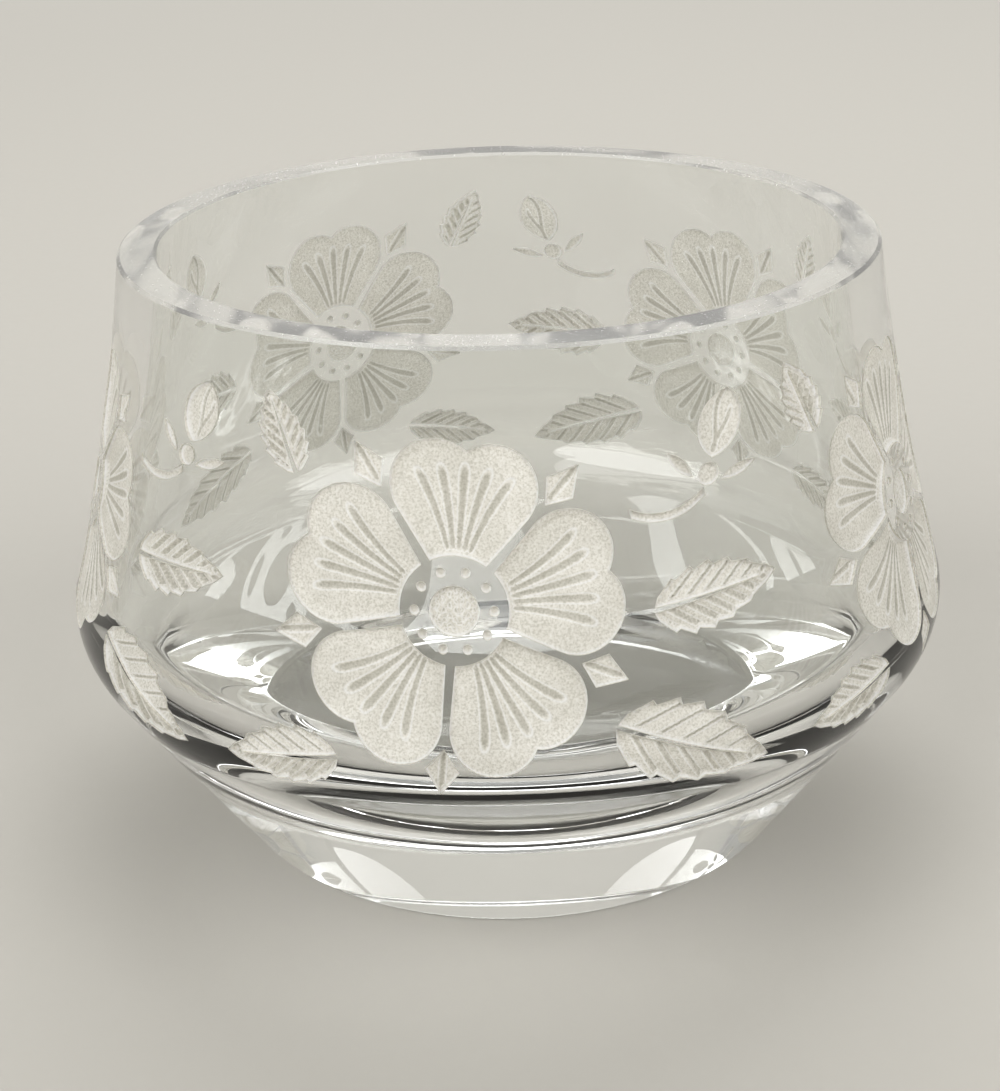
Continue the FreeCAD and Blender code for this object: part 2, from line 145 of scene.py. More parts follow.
def bowed(start, end, radius, side):
    # arc from start to end, its centre to the left (1) or right (-1) of the way
    chord = end - start
    half = chord.length / 2
    rise = sqrt(max(radius ** 2 - half ** 2, 0))
    centre = (start + end) / 2 + Vector((-chord.y, chord.x)).normalized() * rise * side
    sweep = 2 * asin(min(half / radius, 1)) * side
    first = slopeOf(start - centre)
    return [onCircle(centre, radius, angle) for angle in steps(first, first + sweep, outlinePace / radius)[:-1]]


def loopThrough(corners, bows, place, angle):
    # closed outline, counter-clockwise; bows gives (radius, side) for the runs that are arcs
    points = []
    for number, corner in enumerate(corners):
        following = corners[(number + 1) % len(corners)]
        if number in bows:
            points += bowed(corner, following, *bows[number])
            continue
        shares = steps(0, 1, outlinePace / (following - corner).length)[:-1]
        points += [corner.lerp(following, share) for share in shares]
    turned = Matrix.Rotation(radians(angle), 2)
    return [place + turned @ point for point in points]


def lens(x, length, width):
    radius = (length / 2) ** 2 / width + width / 4
    return [Vector((x, 0)), Vector((x + length, 0))], {0: (radius, 1), 1: (radius, 1)}


def disc(place, radius, sides):
    return [onCircle(place, radius, 2 * pi * number / sides) for number in range(sides)]


def smooth(value):
    value = min(max(value, 0), 1)
    return value * value * (3 - 2 * value)


def groove(distance, width):
    return exp(-(distance / width) ** 2)


# Each outline comes with a function of a point in its own place, which gives how deep the face
# lies under the polished wall, and how much of a vein it is, 0 to 1.
# The material paints shade along a vein's groove and a highlight down each side of it.
# The vein attribute goes down to -1 at an outline, where the material paints the highlight that its thin sharp edge
# would catch.

roseSizes = {
    "radius": 29.0,
    "centre": (-9.0, 77.0),
    "turn": 12.0,
    "petals": 5,
    "petalRoot": 9.2,
    "petalRootAngle": 31.0,
    "petalShoulderShare": 0.68,
    "petalShoulderAngle": 34.2,
    "petalLobeShare": 0.2655,
    "petalNotchShare": 0.92,
    "sepalReach": 31.8,
    "sepalWidth": 5.8,
    "sepalShares": (0.80, 0.93),
    "heart": 4.2,
    "stamens": 10,
    "stamenRing": 6.7,
    "stamen": 0.85,
    # how deep the wheel went, in millimetres under the polished wall
    "shallow": 0.46,
    "deep": 1.22,  # each petal dives under its neighbour on one side
    "lip": 1.7,  # width of the turned-over edge
    "veins": (-2, -1, 0, 1, 2),
    "veinSpread": 10.5,
    "veinWidth": 0.8,
    "veinDepth": 0.26,
    "sepalDepth": 0.55,
    "sepalFold": 0.5,
    "sepalFoldWidth": 0.55,
    "heartSwell": 0.4,
    "latticeDepth": 0.3,
    "latticeWidth": 0.28,
    "latticeTurns": 1.9,  # radians a millimetre
    "dotDepth": 0.95,
    "dotRise": 0.4,
}


def cutPetal(place, edge):
    reach = roseSizes["radius"] * roseSizes["petalNotchShare"] - roseSizes["petalRoot"]
    along = (place.length - roseSizes["petalRoot"]) / reach
    out = min(max(along, 0), 1)
    angle = atan2(place.y, place.x)
    side = 0.5 + angle / radians(2 * roseSizes["petalShoulderAngle"])
    scoop = smooth(side) * (1 - 0.35 * max(along, 0) ** 2) + 0.25 * (1 - min(along, 1)) ** 2
    depth = roseSizes["shallow"] + (roseSizes["deep"] - roseSizes["shallow"]) * min(scoop, 1)
    lip = smooth((along - 0.42) / 0.25) * smooth((roseSizes["lip"] - edge) / 0.7)
    depth += (roseSizes["shallow"] - depth) * lip * 0.8
    vein = 0
    for number in roseSizes["veins"]:
        line = radians(number * roseSizes["veinSpread"]) * (0.5 + 0.5 * out)
        near = groove((angle - line) * place.length, roseSizes["veinWidth"] * (0.38 + 0.62 * out))
        vein = max(vein, near * smooth(along / 0.08) * smooth((0.93 - along) / 0.2 - 0.06 * abs(number)))
    return depth + roseSizes["veinDepth"] * vein * (1 - lip), vein * (1 - lip)


def cutSepal(place, edge):
    middle = groove(place.y, roseSizes["sepalFoldWidth"])
    return roseSizes["sepalDepth"] + roseSizes["sepalFold"] * middle, 0.7 * middle


def cutHeart(place, edge):
    swell = (place.length / roseSizes["heart"]) ** 2
    lattice = max(
        groove(abs(sin((place.x + side * place.y) * roseSizes["latticeTurns"])), roseSizes["latticeWidth"])
        for side in (1, -1)
    )
    depth = roseSizes["shallow"] + roseSizes["heartSwell"] * swell + roseSizes["latticeDepth"] * lattice
    return depth, 0.55 * lattice


def cutDot(place, edge):
    return roseSizes["dotDepth"] - roseSizes["dotRise"] * smooth(edge / 0.7), 0


def roseOutlines():
    centre = Vector(roseSizes["centre"])
    radius = roseSizes["radius"]
    step = 360 / roseSizes["petals"]
    shoulderSpoke = radius * roseSizes["petalShoulderShare"]
    lobe = radius * roseSizes["petalLobeShare"]
    half = roseSizes["sepalWidth"] / 2
    rootShare, widestShare = roseSizes["sepalShares"]
    petal = [
        spoke(roseSizes["petalRoot"], -roseSizes["petalRootAngle"]),
        spoke(shoulderSpoke, -roseSizes["petalShoulderAngle"]),
        spoke(radius * roseSizes["petalNotchShare"], 0),
        spoke(shoulderSpoke, roseSizes["petalShoulderAngle"]),
        spoke(roseSizes["petalRoot"], roseSizes["petalRootAngle"]),
    ]
    sepal = [
        Vector((radius * rootShare, 0)),
        Vector((radius * widestShare, -half)),
        Vector((roseSizes["sepalReach"], 0)),
        Vector((radius * widestShare, half)),
    ]
    bows = {1: (lobe, 1), 2: (lobe, 1), 4: (roseSizes["petalRoot"], -1)}
    outlines = []
    for number in range(roseSizes["petals"]):
        turn = roseSizes["turn"] + step * number
        outlines.append((loopThrough(petal, bows, centre, turn), centre, turn, cutPetal))
        turn += step / 2
        outlines.append((loopThrough(sepal, {}, centre, turn), centre, turn, cutSepal))
    outlines.append((disc(centre, roseSizes["heart"], 40), centre, 0, cutHeart))
    for number in range(roseSizes["stamens"]):
        place = centre + spoke(roseSizes["stamenRing"], 360 * number / roseSizes["stamens"])
        outlines.append((disc(place, roseSizes["stamen"], 12), place, 0, cutDot))
    return outlines


leafSizes = {
    "gap": 1.3,
    "midrib": 0.9,
    "teeth": 6,
    "toothShares": (0.06, 0.96),
    "toothPitch": 0.80,
    "toothValley": 0.84,
    "fullness": (0.70, 0.95),
    "baseShare": 0.03,
    "midribEnd": 0.86,
    # for each leaf: length, width, the angle it starts at round the rose, the way it points
    "leaves": ((30.0, 15.0, -38, -22), (22.5, 12.0, -4, 6), (21.0, 11.5, -128, -170), (14.5, 8.5, 142, 108)),
    "shallow": 0.5,
    "fall": 0.62,  # how much deeper each leaf panel gets towards the next vein
    "veinAngle": 40,
    "veinWidth": 0.42,
    "veinDepth": 0.12,
}


def cutLeaf(length):
    pitch = (leafSizes["toothShares"][1] - leafSizes["toothShares"][0]) / leafSizes["teeth"]
    lean = radians(leafSizes["veinAngle"])

    def relief(place, edge):
        start = place.x / length - abs(place.y) / (length * tan(lean))
        phase = (start / pitch + 0.25) % 1
        vein = groove(min(phase, 1 - phase) * pitch * length * sin(lean), leafSizes["veinWidth"])
        fall = (1 - smooth(phase / 0.92)) * smooth(abs(place.y) / 1.5 + 0.3)
        depth = leafSizes["shallow"] + leafSizes["fall"] * fall + leafSizes["veinDepth"] * vein
        return depth, 0.75 * vein

    return relief


def sprigStart(angle):
    return Vector(roseSizes["centre"]) + spoke(roseSizes["sepalReach"] + leafSizes["gap"], angle)


def leafFullness(share):
    low, high = leafSizes["fullness"]
    widest = low / (low + high)
    return (share / widest) ** low * ((1 - share) / (1 - widest)) ** high


def leafOutlines():
    outlines = []
    first, last = leafSizes["toothShares"]
    pitch = (last - first) / leafSizes["teeth"]
    rib = leafSizes["midrib"] / 2
    side = []
    for tooth in range(leafSizes["teeth"]):
        valley = first + tooth * pitch
        peak = valley + pitch * leafSizes["toothPitch"]
        side.append((valley, leafFullness(valley) * leafSizes["toothValley"]))
        side.append((peak, leafFullness(peak)))
    for length, width, start, turn in leafSizes["leaves"]:
        corners = [Vector((length * leafSizes["baseShare"], -rib))]
        corners += [Vector((length * along, -width / 2 * out)) for along, out in side]
        corners += [Vector((length, 0))]
        corners += [Vector((length * along, width / 2 * out)) for along, out in reversed(side)]
        corners += [Vector((length * leafSizes["baseShare"], rib))]
        corners += [Vector((length * leafSizes["midribEnd"], 0))]
        place = sprigStart(start)
        outlines.append((loopThrough(corners, {}, place, turn), place, turn, cutLeaf(length)))
    return outlines


budSizes = {
    "start": 26,
    "turn": 8,
    "span": 13.0,
    "stem": 1.5,
    "stemBend": 11.0,
    "gap": 0.8,
    "hip": 1.9,
    "budTurn": 76,
    "length": 11.5,
    "width": 7.6,
    "sepal": (6.4, 1.9),
    "sepalStart": 104,
    "sepalTurn": 58,
    "shallow": 0.5,
    "swell": 0.5,
    "wrapDepth": 0.25,  # the edge of each wrapped petal
    "wrapWidth": 0.38,
    "stemDepth": 0.8,
}


def cutBud(place, edge):
    share = (place.x - budSizes["hip"] - budSizes["gap"]) / budSizes["length"]
    wide = budSizes["width"] / 2 * sin(pi * min(max(share, 0), 1))
    upper = groove(place.y - wide * (0.75 * share - 0.2), budSizes["wrapWidth"])
    under = groove(place.y + wide * (0.85 * share - 0.1), budSizes["wrapWidth"])
    wrap = max(upper, under * smooth((0.8 - share) / 0.2))
    side = 0.5 + 0.5 * place.y / max(wide, 0.4)
    depth = budSizes["shallow"] + budSizes["swell"] * smooth(side) + budSizes["wrapDepth"] * wrap
    return depth, 0.8 * wrap


def cutStem(place, edge):
    return budSizes["stemDepth"], 0


def budOutlines():
    span = budSizes["span"]
    half = budSizes["stem"] / 2
    bend = budSizes["stemBend"]
    start = sprigStart(budSizes["start"])
    corners = [Vector((0, -half)), Vector((span, -half)), Vector((span, half)), Vector((0, half))]
    stem = loopThrough(corners, {0: (bend, 1), 2: (bend, -1)}, start, budSizes["turn"])
    clearance = budSizes["hip"] + budSizes["gap"]
    hip = start + spoke(span, budSizes["turn"]) + spoke(clearance, budSizes["budTurn"])
    outlines = [(stem, start, budSizes["turn"], cutStem), (disc(hip, budSizes["hip"], 24), hip, 0, cutDot)]
    bud = loopThrough(*lens(clearance, budSizes["length"], budSizes["width"]), hip, budSizes["budTurn"])
    outlines.append((bud, hip, budSizes["budTurn"], cutBud))
    for side in (1, -1):
        place = hip + spoke(clearance, budSizes["budTurn"] + side * budSizes["sepalStart"])
        turn = budSizes["budTurn"] + side * budSizes["sepalTurn"]
        outlines.append((loopThrough(*lens(0, *budSizes["sepal"]), place, turn), place, turn, cutStem))
    return outlines


garland = {"roses": roseOutlines(), "leaves": leafOutlines(), "buds": budOutlines()}
print("garland drawn:", sum(len(outlines) for outlines in garland.values()), "outlines")


class Shell:
    # gathers one piece's points and faces, with each face's finish and its corners' slopes

    def __init__(self):
        self.points, self.faces, self.finishes, self.slopes, self.veins = [], [], [], [], []

    def point(self, place, vein=0.0):
        self.points.append(place * mm)
        self.veins.append(vein)
        return len(self.points) - 1

    def face(self, corners, finish, slopes=None):
        self.faces.append(corners)
        self.finishes.append(finish)
        self.slopes += slopes or [noSlope] * len(corners)

    def build(self, name):
        mesh = bpy.data.meshes.new(name)
        mesh.from_pydata(self.points, [], self.faces)
        mesh.attributes.new("finish", "INT", "FACE").data.foreach_set("value", self.finishes)
        mesh.attributes.new("slope", "FLOAT", "CORNER").data.foreach_set("value", self.slopes)
        mesh.attributes.new("vein", "FLOAT", "POINT").data.foreach_set("value", self.veins)
        piece = bpy.data.objects.new(name, mesh)
        bpy.context.scene.collection.objects.link(piece)
        return piece


def nearestTo(points):
    tree = KDTree(len(points))
    for number, point in enumerate(points):
        tree.insert((point.x, point.y, 0), number)
    tree.balance()
    return lambda point: tree.find((point.x, point.y, 0))[2]


def filled(loops, loose):
    # triangles inside the loops, each with the number of the innermost loop round it
    points, rings = [], []
    for loop in loops:
        rings.append(list(range(len(points), len(points) + len(loop))))
        points += loop
    flat, _, triangles, firsts, _, owners = delaunay_2d_cdt(points + loose, [], rings, 1, 1e-5, True)
    placeOf = {source: number for number, sources in enumerate(firsts) for source in sources}
    borders = [[placeOf[source] for source in ring] for ring in rings]
    return flat, [(triangle, max(owner)) for triangle, owner in zip(triangles, owners) if owner], borders


bowlMesh = {
    "columns": 88,  # faces across one garland's share of the wall
    "rowPace": 2.1,  # millimetres from row to row of the carved band
    "clearance": 0.42,  # no loose point stands nearer than this to an outline
    "coneRows": 10,
    "weld": 0.002,  # millimetres, closes the joins between the garlands' shares
    # degrees between rows
    "rounding": 9,
    "shoulder": 2.2,
    "outerWall": 0.2,
    "innerWall": 0.34,
    "innerCorner": 4.5,
    "innerDish": 1.6,
}


def bowlRuns():
    # the section in runs of (radius, height, slope); a sharp edge is a break between two runs
    sizes = bowlSizes
    rounding, bevel = sizes["footRounding"], sizes["rimBevel"]
    inner = sizes["flareRadius"] + sizes["wall"]
    dish = Vector((0, sizes["base"] + sizes["innerDish"]))
    corner = meeting(dish, sizes["innerDish"] - sizes["innerCorner"], flare, inner + sizes["innerCorner"], -1)
    innerJoint = slopeOf(flare - corner)
    dishEnd = slopeOf(corner - dish)
    # the foot's rounding touches the base and the cone
    footCentre = Vector((sizes["footRadius"] - rounding * (1 - sin(-coneSlope)) / cos(coneSlope), rounding))
    ring = sizes["standingRing"]
    low = radians(sizes["bandLow"])
    wallTop = sizes["height"] - bevel
    innerRim = Vector((flare.x - sqrt(inner ** 2 - (sizes["height"] - flare.y) ** 2), sizes["height"]))
    innerTop = Vector((flare.x - sqrt(inner ** 2 - (wallTop - flare.y) ** 2), wallTop))

    def level(first, last, height, slope, pace, finish=clear):
        return finish, [(radius, height, slope) for radius in steps(first, last, pace)]

    def arc(centre, radius, first, last, pace, side=1):
        turned = 0 if side == 1 else pi
        turns = steps(first, last, radians(bowlMesh[pace]))
        return clear, [(*onCircle(centre, radius, angle), angle + turned) for angle in turns]

    coneStart = onCircle(footCentre, rounding, coneSlope)
    coneEnd = onCircle(shoulder, sizes["shoulderRadius"], coneSlope)
    shares = steps(0, 1, 1 / bowlMesh["coneRows"])
    coneRows = [(*coneStart.lerp(coneEnd, share), coneSlope) for share in shares]
    flareFirst = slopeOf(Vector((wallRadius(sizes["bandTop"]), sizes["bandTop"])) - flare)
    flareLast = slopeOf(Vector((wallRadius(wallTop), wallTop)) - flare)
    outerBevel = slopeOf(Vector((bevel, bevel)))
    below = [
        level(0, ring[0], 0, -pi / 2, 13),
        level(ring[0], ring[1], 0, -pi / 2, 3.2, worn),
        level(ring[1], footCentre.x, 0, -pi / 2, 2),
        arc(footCentre, rounding, -pi / 2, coneSlope, "rounding"),
        (clear, coneRows),
        arc(shoulder, sizes["shoulderRadius"], coneSlope, low, "shoulder"),
    ]
    above = [
        arc(flare, sizes["flareRadius"], flareFirst, flareLast, "outerWall", -1),
        (ground, [(wallRadius(wallTop), wallTop, outerBevel), (rimEdge.x - bevel, sizes["height"], outerBevel)]),
        level(rimEdge.x - bevel, innerRim.x + bevel, sizes["height"], pi / 2, 3.2, ground),
        (ground, [(innerRim.x + bevel, sizes["height"], pi - outerBevel), (*innerTop, pi - outerBevel)]),
        arc(flare, inner, slopeOf(innerTop - flare) % (2 * pi), innerJoint + pi, "innerWall"),
        arc(corner, sizes["innerCorner"], innerJoint, dishEnd, "innerCorner", -1),
        arc(dish, sizes["innerDish"], dishEnd, -pi / 2, "innerDish", -1),
    ]
    return below, above


def addRings(shell, runs):
    # turns the runs of the section through one garland's share
    columns = bowlMesh["columns"]
    share = 2 * pi / bowlSizes["garlands"]
    turns = [share * (number / columns - 0.5) for number in range(columns + 1)]
    for finish, rows in runs:
        lines = []
        for radius, height, slope in rows:
            if radius < 1e-6:
                lines.append([shell.point(Vector((0, 0, height)))] * len(turns))
                continue
            lines.append([shell.point(Vector((radius * sin(turn), -radius * cos(turn), height))) for turn in turns])
        for (low, high), (lowRow, highRow) in zip(zip(lines, lines[1:]), zip(rows, rows[1:])):
            for left in range(columns):
                corners = [low[left], low[left + 1], high[left + 1], high[left]]
                slopes = [lowRow[2], lowRow[2], highRow[2], highRow[2]]
                if corners[0] == corners[1]:
                    corners, slopes = corners[1:], slopes[1:]
                elif corners[2] == corners[3]:
                    corners, slopes = corners[:3], slopes[:3]
                shell.face(corners, finish, slopes)


def carvedBand(shell):
    # one garland's share of the wall: the polished face, and a pocket under each outline
    sizes = bowlSizes
    reach = pi / sizes["garlands"] * sizes["bellyRadius"]
    joint = shoulder.y + sizes["shoulderRadius"] * sin(jointSlope)
    turns = steps(radians(sizes["bandLow"]), jointSlope, radians(bowlMesh["shoulder"]))
    rows = [shoulder.y + sizes["shoulderRadius"] * sin(turn) for turn in turns]
    rows = rows[:-1] + steps(joint, sizes["bandTop"], bowlMesh["rowPace"])
    across = steps(-reach, reach, 2 * reach / bowlMesh["columns"] * 1.0001)
    border = [Vector((x, rows[0])) for x in across] + [Vector((reach, row)) for row in rows[1:]]
    border += [Vector((x, rows[-1])) for x in reversed(across[:-1])]
    border += [Vector((-reach, row)) for row in reversed(rows[1:-1])]
    loops = [[spread(*point) for point in outline[0]] for outlines in garland.values() for outline in outlines]
    distance = nearestTo([point for loop in loops for point in loop])
    grid = [Vector((x, row)) for row in rows[1:-1] for x in across[1:-1]]
    loose = [point for point in grid if distance(point) > bowlMesh["clearance"]]
    flat, triangles, borders = filled([border] + loops, loose)
    face, recess, floor = {}, {}, {}

    def at(number, depth, known):
        if number not in known:
            known[number] = shell.point(onWall(*gather(flat[number]), depth))
        return known[number]

    for triangle, owner in triangles:
        if owner == 0:
            slopes = [wallSlope(flat[number].y) for number in triangle]
            shell.face([at(number, 0, face) for number in triangle], clear, slopes)
        else:
            shell.face([at(number, sizes["carvingDepth"], floor) for number in triangle], bonded)
    for loop in borders[1:]:
        for first, second in zip(loop, loop[1:] + loop[:1]):
            top = [at(number, 0, face) for number in (first, second)]
            middle = [at(number, sizes["frostRecess"], recess) for number in (first, second)]
            bottom = [at(number, sizes["carvingDepth"], floor) for number in (first, second)]
            shell.face([top[0], top[1], middle[1], middle[0]], blasted)
            shell.face([middle[0], middle[1], bottom[1], bottom[0]], bonded)


frostMesh = {
    "hiddenPace": 2.4,  # millimetres between points of the skin that lies against the glass
    "clearance": 0.42,  # in paces, from an outline to the nearest loose point
    "edgeRun": 0.55,  # the carving eases in from the outline over this
    # width from an outline over which the painted edge highlight fades out
    "edgeHighlightRun": 0.45,
    "sharpFrom": 50,  # degrees
}


def frostedShell(outlines, pace):
    # the blasted layer that fills the lower part of its pockets, its outer skin carved
    shell = Shell()
    loops = [outline[0] for outline in outlines]
    rim = [point for loop in loops for point in loop]
    distance = nearestTo(rim)
    left, right = min(point.x for point in rim), max(point.x for point in rim)
    bottom, top = min(point.y for point in rim), max(point.y for point in rim)
    for finish, gap in ((blasted, pace), (bonded, frostMesh["hiddenPace"])):
        grid = [
            Vector((x + gap / 2 * (row % 2), y))
            for row, y in enumerate(steps(bottom, top, gap * 0.866))
            for x in steps(left, right, gap)
        ]
        loose = [point for point in grid if distance(point) > gap * frostMesh["clearance"]]
        flat, triangles, borders = filled(loops, loose)
        inside = [None] * len(flat)
        for triangle, owner in triangles:
            for number in triangle:
                inside[number] = owner
        onRim = {number for border in borders for number in border}
        made = []
        for number, point in enumerate(flat):
            if inside[number] is None:
                made.append(None)
                continue
            if finish == bonded:
                made.append(shell.point(onWall(*point, bowlSizes["carvingDepth"])))
                continue
            depth, vein = bowlSizes["frostRecess"], -1
            if number not in onRim:
                _, place, turn, relief = outlines[inside[number]]
                edge = distance(point)
                cut, vein = relief(Matrix.Rotation(radians(-turn), 2) @ (point - place), edge)
                depth += (cut - depth) * smooth(edge / frostMesh["edgeRun"])
                # painted highlight: near the outline the vein attribute falls to -1, which the material paints white
                if edge < frostMesh["edgeHighlightRun"]:
                    vein = edge / frostMesh["edgeHighlightRun"] - 1
            made.append(shell.point(onWall(*point, depth), vein))
        for triangle, _ in triangles:
            corners = [made[number] for number in triangle]
            shell.face(corners if finish == blasted else corners[::-1], finish)
        if finish == blasted:
            upper = [[made[number] for number in border] for border in borders]
        else:
            lower = [[made[number] for number in border] for border in borders]
    for high, low in zip(upper, lower):
        for number in range(len(high)):
            after = (number + 1) % len(high)
            shell.face([high[after], high[number], low[number], low[after]], bonded)
    return shell


def fromHex(text):
    # sRGB hex to linear colour
    parts = [int(text[at:at + 2], 16) / 255 for at in (0, 2, 4)]
    return tuple(p / 12.92 if p <= 0.04045 else ((p + 0.055) / 1.055) ** 2.4 for p in parts) + (1.0,)


def grey(share):
    return share, share, share, 1.0


def addNode(tree, kind, settings=None, feeds=None):
    # adds a node, sets its properties, and gives each named input a value or a link
    node = tree.nodes.new(kind)
    for name, value in (settings or {}).items():
        setattr(node, name, value)
    for name, value in (feeds or {}).items():
        if isinstance(value, bpy.types.NodeSocket):
            tree.links.new(value, node.inputs[name])
        else:
            node.inputs[name].default_value = value
    return node


def newMaterial(name):
    material = bpy.data.materials.new(name)
    material.use_nodes = True
    material.node_tree.nodes.clear()
    return material, material.node_tree


glassLook = {
    "tint": "fcfcfb",
    "tintDeep": "f6f8f6",
    "cord": 45.0,  # millimetres from one cord in the glass to the next
    "ior": 1.52,
}


def clearGlass():
    # soda-lime crystal, cut and fire-polished: clean edges, a faint green-grey cast in the thick foot
    material, tree = newMaterial("fire-polished clear glass")
    place = addNode(tree, "ShaderNodeTexCoord")
    cords = addNode(tree, "ShaderNodeTexNoise", {}, {
        "Vector": place.outputs["Object"], "Scale": 1 / (glassLook["cord"] * mm), "Detail": 1.0,
    })
    tint = addNode(tree, "ShaderNodeValToRGB", {}, {"Fac": cords.outputs["Fac"]})
    tint.color_ramp.elements[0].color = fromHex(glassLook["tintDeep"])
    tint.color_ramp.elements[1].color = fromHex(glassLook["tint"])
    shader = addNode(tree, "ShaderNodeBsdfPrincipled", {}, {
        "Base Color": tint.outputs["Color"],
        "Roughness": 0.0,
        "IOR": glassLook["ior"],
        "Transmission Weight": 1.0,
    })
    addNode(tree, "ShaderNodeOutputMaterial", {}, {"Surface": shader.outputs["BSDF"]})
    return material


def groundGlass(name, look):
    # ground with fine grit and only half polished: clear, but soft, with hair-fine marks
    material, tree = newMaterial(name)
    place = addNode(tree, "ShaderNodeTexCoord")
    marks = addNode(tree, "ShaderNodeTexNoise", {}, {
        "Vector": place.outputs["Object"], "Scale": 1 / (look["marks"] * mm), "Detail": 4.0,
    })
    wear = addNode(tree, "ShaderNodeMapRange", {}, {
        "Value": marks.outputs["Fac"], "From Min": 0.35, "From Max": 0.7,
        "To Min": look["smoothest"], "To Max": look["roughest"],
    })
    shader = addNode(tree, "ShaderNodeBsdfPrincipled", {}, {
        "Base Color": fromHex(glassLook["tint"]),
        "Roughness": wear.outputs["Result"],
        "IOR": glassLook["ior"],
        "Transmission Weight": 1 - look["haze"],
    })
    addNode(tree, "ShaderNodeOutputMaterial", {}, {"Surface": shader.outputs["BSDF"]})
    return material


frostLook = {
    "colour": "eeebe2",
    "light": "fcfaf4",
    "dark": "d5d2c7",
    "vein": "b0aea4",  # painted shade: darkens the grain along a vein's groove
    "veinShadeShare": 0.46,
    # painted highlight colour for the outlines and the lines beside the veins
    "edge": "ffffff",
    "edgeHighlightShare": 0.85,
    "veinHighlightShare": 0.6,  # how much of the painted edge highlight goes into the painted highlight lines beside a vein
    "transmission": 0.12,
    "roughness": 0.62,
    "glow": 0.34,  # share of the light that comes through scattered
    "grain": 0.42,  # millimetres; real blasting grit leaves pits of 0.1, drawn coarser so that they show
    "cloud": 9.0,  # millimetres across a patch where the blasting went deeper
    "pitDepth": 0.05,
}


def frostedGlass():
    # sand-carved glass: milky, full of fine bright and dark grains, greyer along the carved veins by painted shade,
    # with painted highlights along the outlines and down each side of a vein
    material, tree = newMaterial("sand-carved frosted glass")
    place = addNode(tree, "ShaderNodeTexCoord")
    grain = addNode(tree, "ShaderNodeTexNoise", {}, {
        "Vector": place.outputs["Object"], "Scale": 1 / (frostLook["grain"] * mm), "Detail": 3.0, "Roughness": 0.65,
    })
    cloud = addNode(tree, "ShaderNodeTexNoise", {}, {
        "Vector": place.outputs["Object"], "Scale": 1 / (frostLook["cloud"] * mm), "Detail": 3.0,
    })
    vein = addNode(tree, "ShaderNodeAttribute", {"attribute_name": "vein"})
    speckle = addNode(tree, "ShaderNodeValToRGB", {}, {"Fac": grain.outputs["Fac"]})
    ramp = speckle.color_ramp.elements
    ramp[0].position, ramp[1].position = 0.36, 0.66
    ramp[0].color, ramp[1].color = fromHex(frostLook["dark"]), fromHex(frostLook["light"])
    middle = ramp.new(0.5)
    middle.color = fromHex(frostLook["colour"])
    patch = addNode(tree, "ShaderNodeMapRange", {}, {
        "Value": cloud.outputs["Fac"], "From Min": 0.3, "From Max": 0.7, "To Min": 0.25, "To Max": 0.0,
    })
    # painted shade along the carved veins, added to the random patches where the blasting went deeper
    paintedVeinShade = addNode(tree, "ShaderNodeMapRange", {"interpolation_type": "SMOOTHSTEP"}, {
        "Value": vein.outputs["Fac"], "From Min": 0.32, "From Max": 0.66,
        "To Min": 0.0, "To Max": frostLook["veinShadeShare"],
    })
    veinShadeAndPatch = addNode(tree, "ShaderNodeMath", {"operation": "ADD", "use_clamp": True}, {
        0: paintedVeinShade.outputs["Result"], 1: patch.outputs["Result"],
    })
    # painted highlights: bright along the outline, and in a thin line down each side of a vein, where the carved
    # edges would catch the light
    across = addNode(tree, "ShaderNodeMapRange", {}, {
        "Value": vein.outputs["Fac"], "From Min": -1.0, "From Max": 1.0,
    })
    lines = addNode(tree, "ShaderNodeValToRGB", {}, {"Fac": across.outputs["Result"]})
    bright = lines.color_ramp.elements
    bright[0].color, bright[1].position, bright[1].color = grey(frostLook["edgeHighlightShare"]), 0.68, grey(0)
    for position, share in ((0.5, 0), (0.53, 0), (0.59, frostLook["veinHighlightShare"])):
        bright.new(position).color = grey(share)
    colour = addNode(tree, "ShaderNodeMix", {"data_type": "RGBA", "blend_type": "MULTIPLY"}, {
        0: veinShadeAndPatch.outputs["Value"], 6: speckle.outputs["Color"], 7: fromHex(frostLook["vein"]),
    })
    paintedLightColour = addNode(tree, "ShaderNodeMix", {"data_type": "RGBA"}, {
        0: lines.outputs["Color"], 6: colour.outputs[2], 7: fromHex(frostLook["edge"]),
    })
    rough = addNode(tree, "ShaderNodeMapRange", {}, {
        "Value": grain.outputs["Fac"], "From Min": 0.3, "From Max": 0.7,
        "To Min": frostLook["roughness"] - 0.14, "To Max": frostLook["roughness"] + 0.1,
    })
    pits = addNode(tree, "ShaderNodeBump", {}, {
        "Strength": 0.5, "Distance": frostLook["pitDepth"] * mm, "Height": grain.outputs["Fac"],
    })
    shader = addNode(tree, "ShaderNodeBsdfPrincipled", {}, {
        "Base Color": paintedLightColour.outputs[2],
        "Roughness": rough.outputs["Result"],
        "IOR": glassLook["ior"],
        "Transmission Weight": frostLook["transmission"],
        "Normal": pits.outputs["Normal"],
    })
    glow = addNode(tree, "ShaderNodeBsdfTranslucent", {}, {"Color": paintedLightColour.outputs[2]})
    both = addNode(tree, "ShaderNodeMixShader", {}, {
        0: frostLook["glow"], 1: shader.outputs["BSDF"], 2: glow.outputs["BSDF"],
    })
    addNode(tree, "ShaderNodeOutputMaterial", {}, {"Surface": both.outputs["Shader"]})
    return material


def bondedGlass():
    # where the blasted layer meets the glass under it the real glass goes on, so nothing shows
    material, tree = newMaterial("unbroken glass under the carving")
    shader = addNode(tree, "ShaderNodeBsdfTransparent")
    addNode(tree, "ShaderNodeOutputMaterial", {}, {"Surface": shader.outputs["BSDF"]})
    return material


